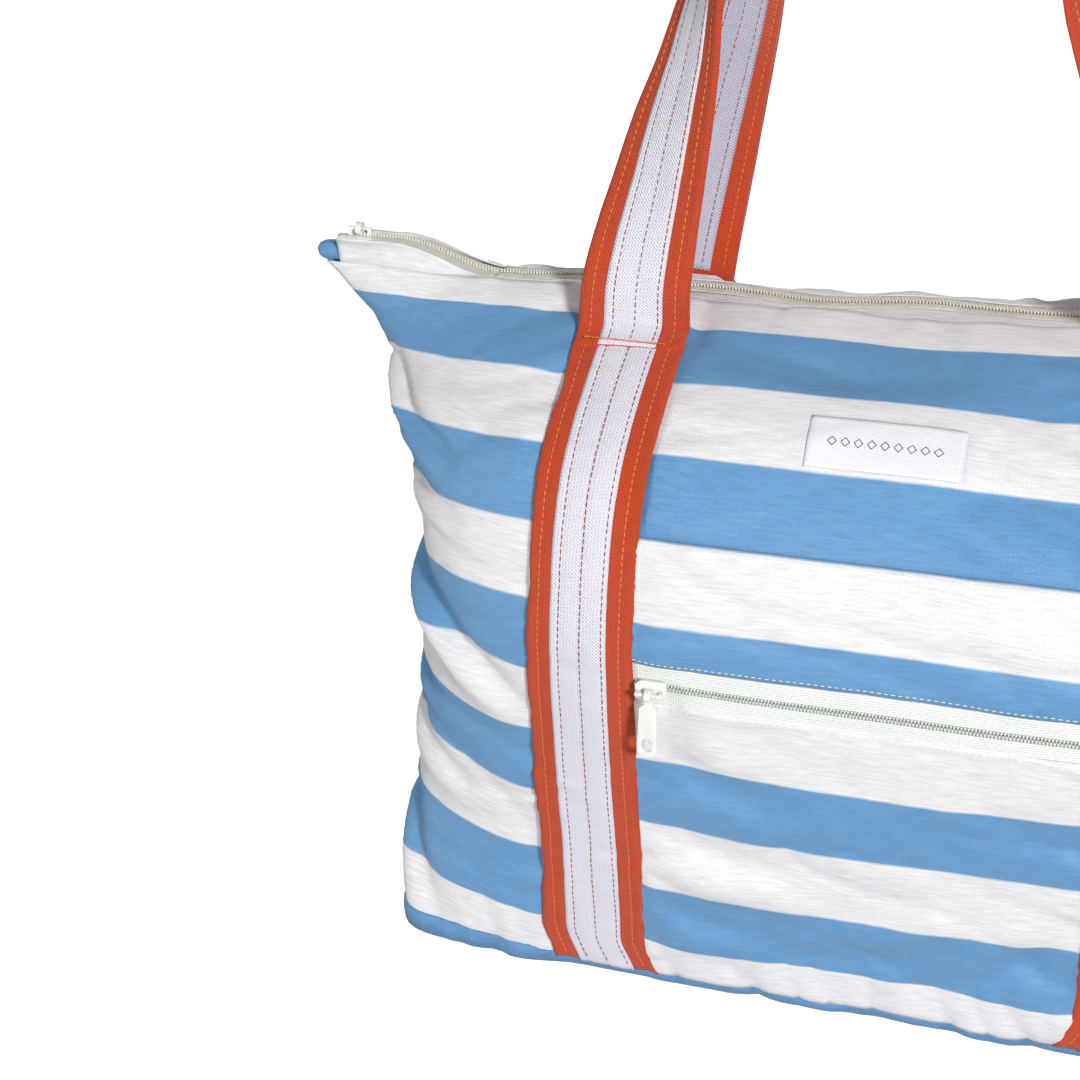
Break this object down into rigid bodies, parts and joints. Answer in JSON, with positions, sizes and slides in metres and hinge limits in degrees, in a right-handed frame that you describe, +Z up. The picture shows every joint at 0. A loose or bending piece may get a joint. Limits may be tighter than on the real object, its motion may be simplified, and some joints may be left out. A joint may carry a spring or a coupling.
{
  "type": "weekender bag",
  "caption": "Soft striped weekender bag with a zip-top mouth, a front zip pocket and two tall shoulder handles sewn on as contrast straps.",
  "frame": {"origin": "underside of the base, at the middle of the bag", "axes": "+Z up, +X along the mouth to the wearer's right as seen from the front, front towards -Y"},
  "size_m": [0.6002, 0.2627, 0.5842],
  "materials": {
    "blue_cloth": "woven twill, soft sheen",
    "white_cloth": "woven twill, soft sheen",
    "lining_cloth": "plain thin weave",
    "stiffener": "matte board",
    "rust_webbing": "twill webbing",
    "white_band": "twill webbing",
    "main_zip_tape": "knitted zip tape",
    "main_zip_coil": "satin nylon coil",
    "pocket_zip_tape": "knitted zip tape",
    "pocket_zip_coil": "satin nylon coil",
    "zip_metal": "off-white enamel",
    "label_cloth": "woven label, plain"
  },
  "bodies": {
    "bag": {"front_panel": "blue_cloth", "back_panel": "blue_cloth", "base_panel": "blue_cloth", "zip_end_tab_left": "blue_cloth", "zip_end_tab_right": "blue_cloth", "top_facing_front": "white_cloth", "top_facing_back": "white_cloth", "zip_panel_front": "white_cloth", "zip_panel_back": "white_cloth", "side_seam_left": "white_cloth", "side_seam_right": "white_cloth", "pocket_panel_upper": "white_cloth", "pocket_panel_lower": "white_cloth", "lining_front": "lining_cloth", "lining_back": "lining_cloth", "lining_base": "lining_cloth", "inner_pocket": "lining_cloth", "pocket_bag": "lining_cloth", "base_board": "stiffener", "strap_front_left": "rust_webbing", "strap_front_right": "rust_webbing", "strap_back_left": "rust_webbing", "strap_back_right": "rust_webbing", "strap_band_front_left": "white_band", "strap_band_front_right": "white_band", "strap_band_back_left": "white_band", "strap_band_back_right": "white_band", "main_zip_end_left": "main_zip_tape", "main_zip_end_right": "main_zip_tape", "pocket_zip_tape_upper": "pocket_zip_tape", "pocket_zip_tape_lower": "pocket_zip_tape", "pocket_zip_coil_upper": "pocket_zip_coil", "pocket_zip_coil_lower": "pocket_zip_coil", "main_zip_stop_left": "zip_metal", "main_zip_stop_right": "zip_metal", "label": "label_cloth"},
    "main_slider": {"main_slider": "zip_metal"},
    "main_pull": {"main_puller": "zip_metal"},
    "pocket_slider": {"pocket_slider": "zip_metal"},
    "pocket_pull": {"pocket_puller": "zip_metal"},
    "front_handle": {"handle_front": "rust_webbing", "handle_band_front": "white_band", "handle_inner_band_front": "white_band"},
    "back_handle": {"handle_back": "rust_webbing", "handle_band_back": "white_band", "handle_inner_band_back": "white_band"},
    "front_zip_half": {"main_zip_tape_front": "main_zip_tape", "main_zip_coil_front": "main_zip_coil"},
    "back_zip_half": {"main_zip_tape_back": "main_zip_tape", "main_zip_coil_back": "main_zip_coil"}
  },
  "joints": [
    {"name": "main_zip_slide", "type": "slide", "parent": "bag", "child": "main_slider", "axis": [1, 0, 0], "range_m": [0, 0.556]},
    {"name": "main_pull_swing", "type": "hinge", "parent": "main_slider", "child": "main_pull", "pos_m": [-0.278, 0, 0.3415], "axis": [1, 0, 0], "range_deg": [0, 224]},
    {"name": "pocket_zip_slide", "type": "slide", "parent": "bag", "child": "pocket_slider", "axis": [1, 0, 0], "range_m": [0, 0.186]},
    {"name": "pocket_pull_swing", "type": "hinge", "parent": "pocket_slider", "child": "pocket_pull", "pos_m": [-0.093, -0.1328, 0.1771], "axis": [-1, 0, 0], "range_deg": [0, 170]},
    {"name": "front_handle_fold", "type": "hinge", "parent": "bag", "child": "front_handle", "pos_m": [0, -0.0461, 0.3179], "axis": [1, 0, 0], "range_deg": [-1, 85]},
    {"name": "back_handle_fold", "type": "hinge", "parent": "bag", "child": "back_handle", "pos_m": [0, 0.0461, 0.3179], "axis": [-1, 0, 0], "range_deg": [-1, 85]},
    {"name": "mouth_front_open", "type": "hinge", "parent": "bag", "child": "front_zip_half", "pos_m": [0, -0.0108, 0.3224], "axis": [1, 0, 0], "range_deg": [0, 70]},
    {"name": "mouth_back_open", "type": "hinge", "parent": "bag", "child": "back_zip_half", "pos_m": [0, 0.0108, 0.3224], "axis": [-1, 0, 0], "range_deg": [0, 70]}
  ],
  "couplings": [
    {"joint": "mouth_back_open", "follows": "mouth_front_open", "ratio": 1}
  ]
}
